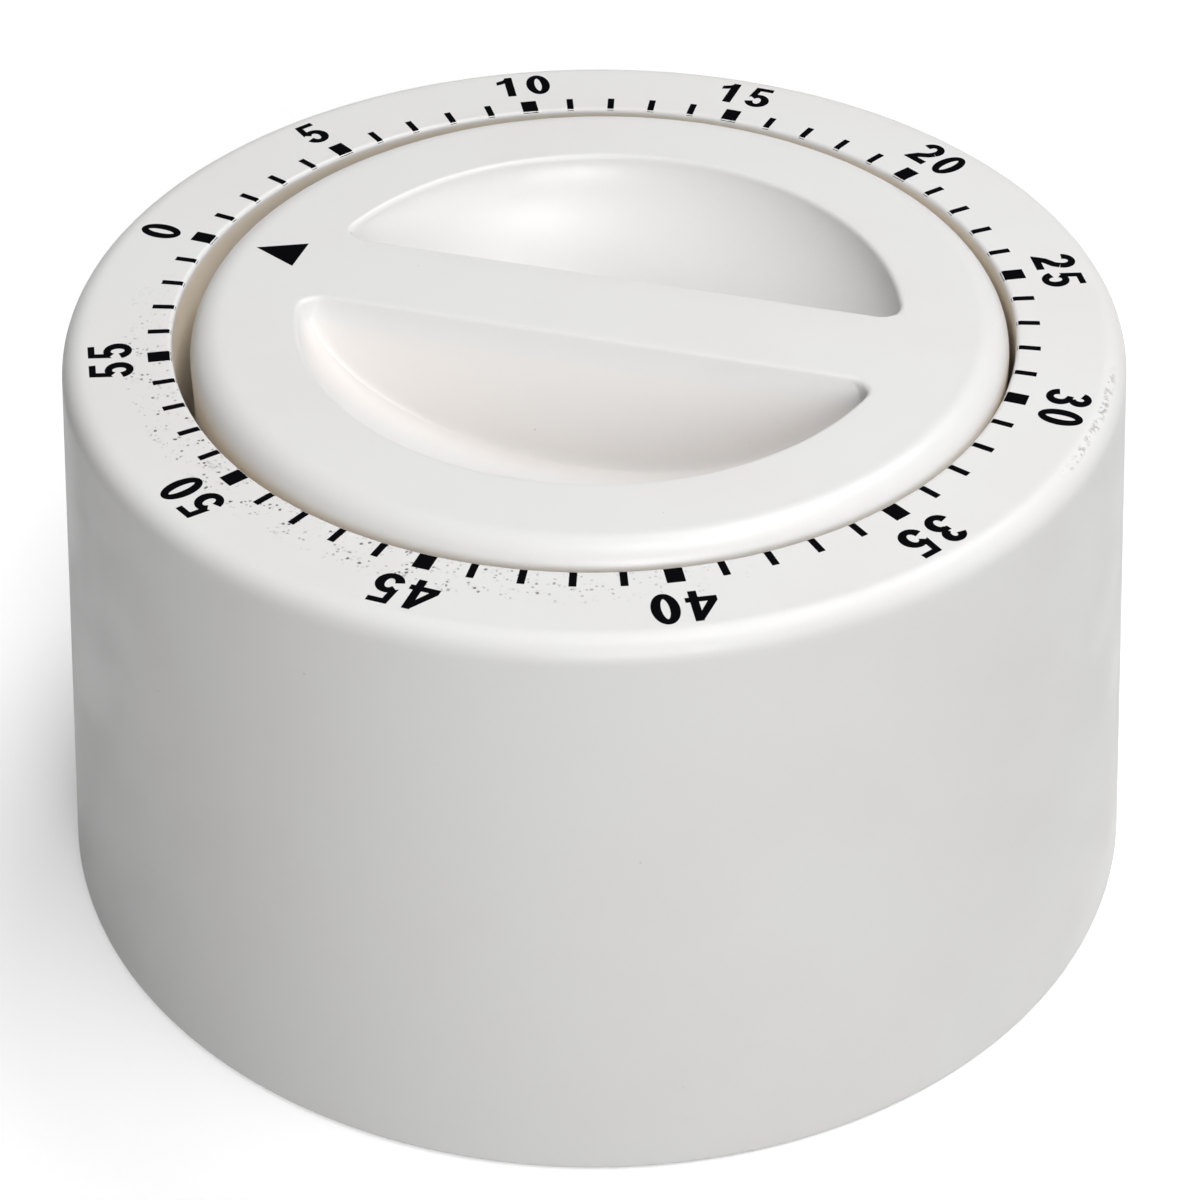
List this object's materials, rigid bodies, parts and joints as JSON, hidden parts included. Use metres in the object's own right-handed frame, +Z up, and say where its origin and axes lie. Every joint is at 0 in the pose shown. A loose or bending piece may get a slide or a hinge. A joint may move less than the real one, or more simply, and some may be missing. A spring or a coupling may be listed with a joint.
{
  "type": "mechanical kitchen timer",
  "caption": "Drum-shaped white mechanical kitchen timer with a printed minute dial ring, a flush turning knob with two finger scoops, and a spring movement with a bell inside.",
  "frame": {"origin": "centre of the foot, on the table, on the main arbor's axis", "axes": "+Z up along the main arbor; the camera of the picture looks along +Y and down; the dial's 0 mark lies at 159.3 degrees from +X"},
  "size_m": [0.0732, 0.0732, 0.0397],
  "materials": {
    "case_plastic": "fine matte moulded plastic, white",
    "knob_plastic": "smooth satin moulded plastic, white",
    "cover_plastic": "matte moulded plastic, white",
    "plate_steel": "zinc plated steel sheet",
    "steel": "turned bright steel",
    "spring_steel": "tempered blue steel",
    "brass": "stamped brass",
    "bell_steel": "nickel plated steel",
    "washer": "blackened steel"
  },
  "bodies": {
    "case": {"case": "case_plastic", "base_cover": "cover_plastic", "cover_screws": "steel", "upper_plate": "plate_steel", "lower_plate": "plate_steel", "plate_pillars": "steel", "pillar_nuts": "steel", "movement_screws": "steel", "mainspring": "spring_steel", "spring_post": "steel", "release_spring": "spring_steel", "hammer_spring": "spring_steel", "bell": "bell_steel", "bell_washer": "washer", "bell_screw": "steel"},
    "knob": {"knob": "knob_plastic", "main_arbor": "steel", "great_wheel": "brass", "ratchet_wheel": "steel", "click_pin": "steel", "click_spring": "spring_steel", "zero_cam": "steel", "cam_clip": "washer"},
    "click": {"click": "steel"},
    "second": {"second_arbor": "steel", "second_wheel": "brass"},
    "third": {"third_arbor": "steel", "third_wheel": "brass"},
    "escape": {"escape_arbor": "steel", "escape_wheel": "brass"},
    "pallet": {"pallet_arbor": "steel", "pallet_lever": "brass", "balance_weight": "steel"},
    "strike": {"strike_arbor": "steel", "strike_wheel": "brass"},
    "hammer": {"hammer_arbor": "steel", "hammer_verge": "brass", "hammer_arm": "steel", "hammer_head": "steel"},
    "release": {"release_arbor": "steel", "release_lever": "steel", "release_finger": "steel"}
  },
  "joints": [
    {"name": "knob_turn", "type": "hinge", "parent": "case", "child": "knob", "pos_m": [0, 0, 0.0397], "axis": [0, 0, 1], "range_deg": [-354, 0], "stiffness_Nm_per_rad": 0.002},
    {"name": "click_lift", "type": "hinge", "parent": "knob", "child": "click", "pos_m": [0.009, 0, 0.0187], "axis": [0, 0, 1], "range_deg": [0, 8], "stiffness_Nm_per_rad": 0.00002},
    {"name": "second_turn", "type": "hinge", "parent": "case", "child": "second", "pos_m": [0.0165, 0, 0.018], "axis": [0, 0, 1], "continuous": true},
    {"name": "third_turn", "type": "hinge", "parent": "case", "child": "third", "pos_m": [0.0124, 0.01128, 0.018], "axis": [0, 0, 1], "continuous": true},
    {"name": "escape_turn", "type": "hinge", "parent": "case", "child": "escape", "pos_m": [0.0033, 0.01653, 0.018], "axis": [0, 0, 1], "continuous": true},
    {"name": "strike_turn", "type": "hinge", "parent": "case", "child": "strike", "pos_m": [-0.0155, -0.00564, 0.018], "axis": [0, 0, 1], "continuous": true},
    {"name": "pallet_rock", "type": "hinge", "parent": "case", "child": "pallet", "pos_m": [-0.00468, 0.01943, 0.018], "axis": [0, 0, 1], "range_deg": [-4, 4]},
    {"name": "hammer_swing", "type": "hinge", "parent": "case", "child": "hammer", "pos_m": [-0.01251, -0.0128, 0.018], "axis": [0, 0, 1], "range_deg": [-3.8, 5], "stiffness_Nm_per_rad": 0.00002},
    {"name": "release_lift", "type": "hinge", "parent": "case", "child": "release", "pos_m": [-0.01843, 0.00161, 0.0254], "axis": [0, 0, 1], "range_deg": [0, 8], "stiffness_Nm_per_rad": 0.00002}
  ],
  "couplings": [
    {"joint": "second_turn", "follows": "knob_turn", "ratio": -4.5},
    {"joint": "third_turn", "follows": "knob_turn", "ratio": 18},
    {"joint": "escape_turn", "follows": "knob_turn", "ratio": -72},
    {"joint": "strike_turn", "follows": "knob_turn", "ratio": -4.5}
  ]
}
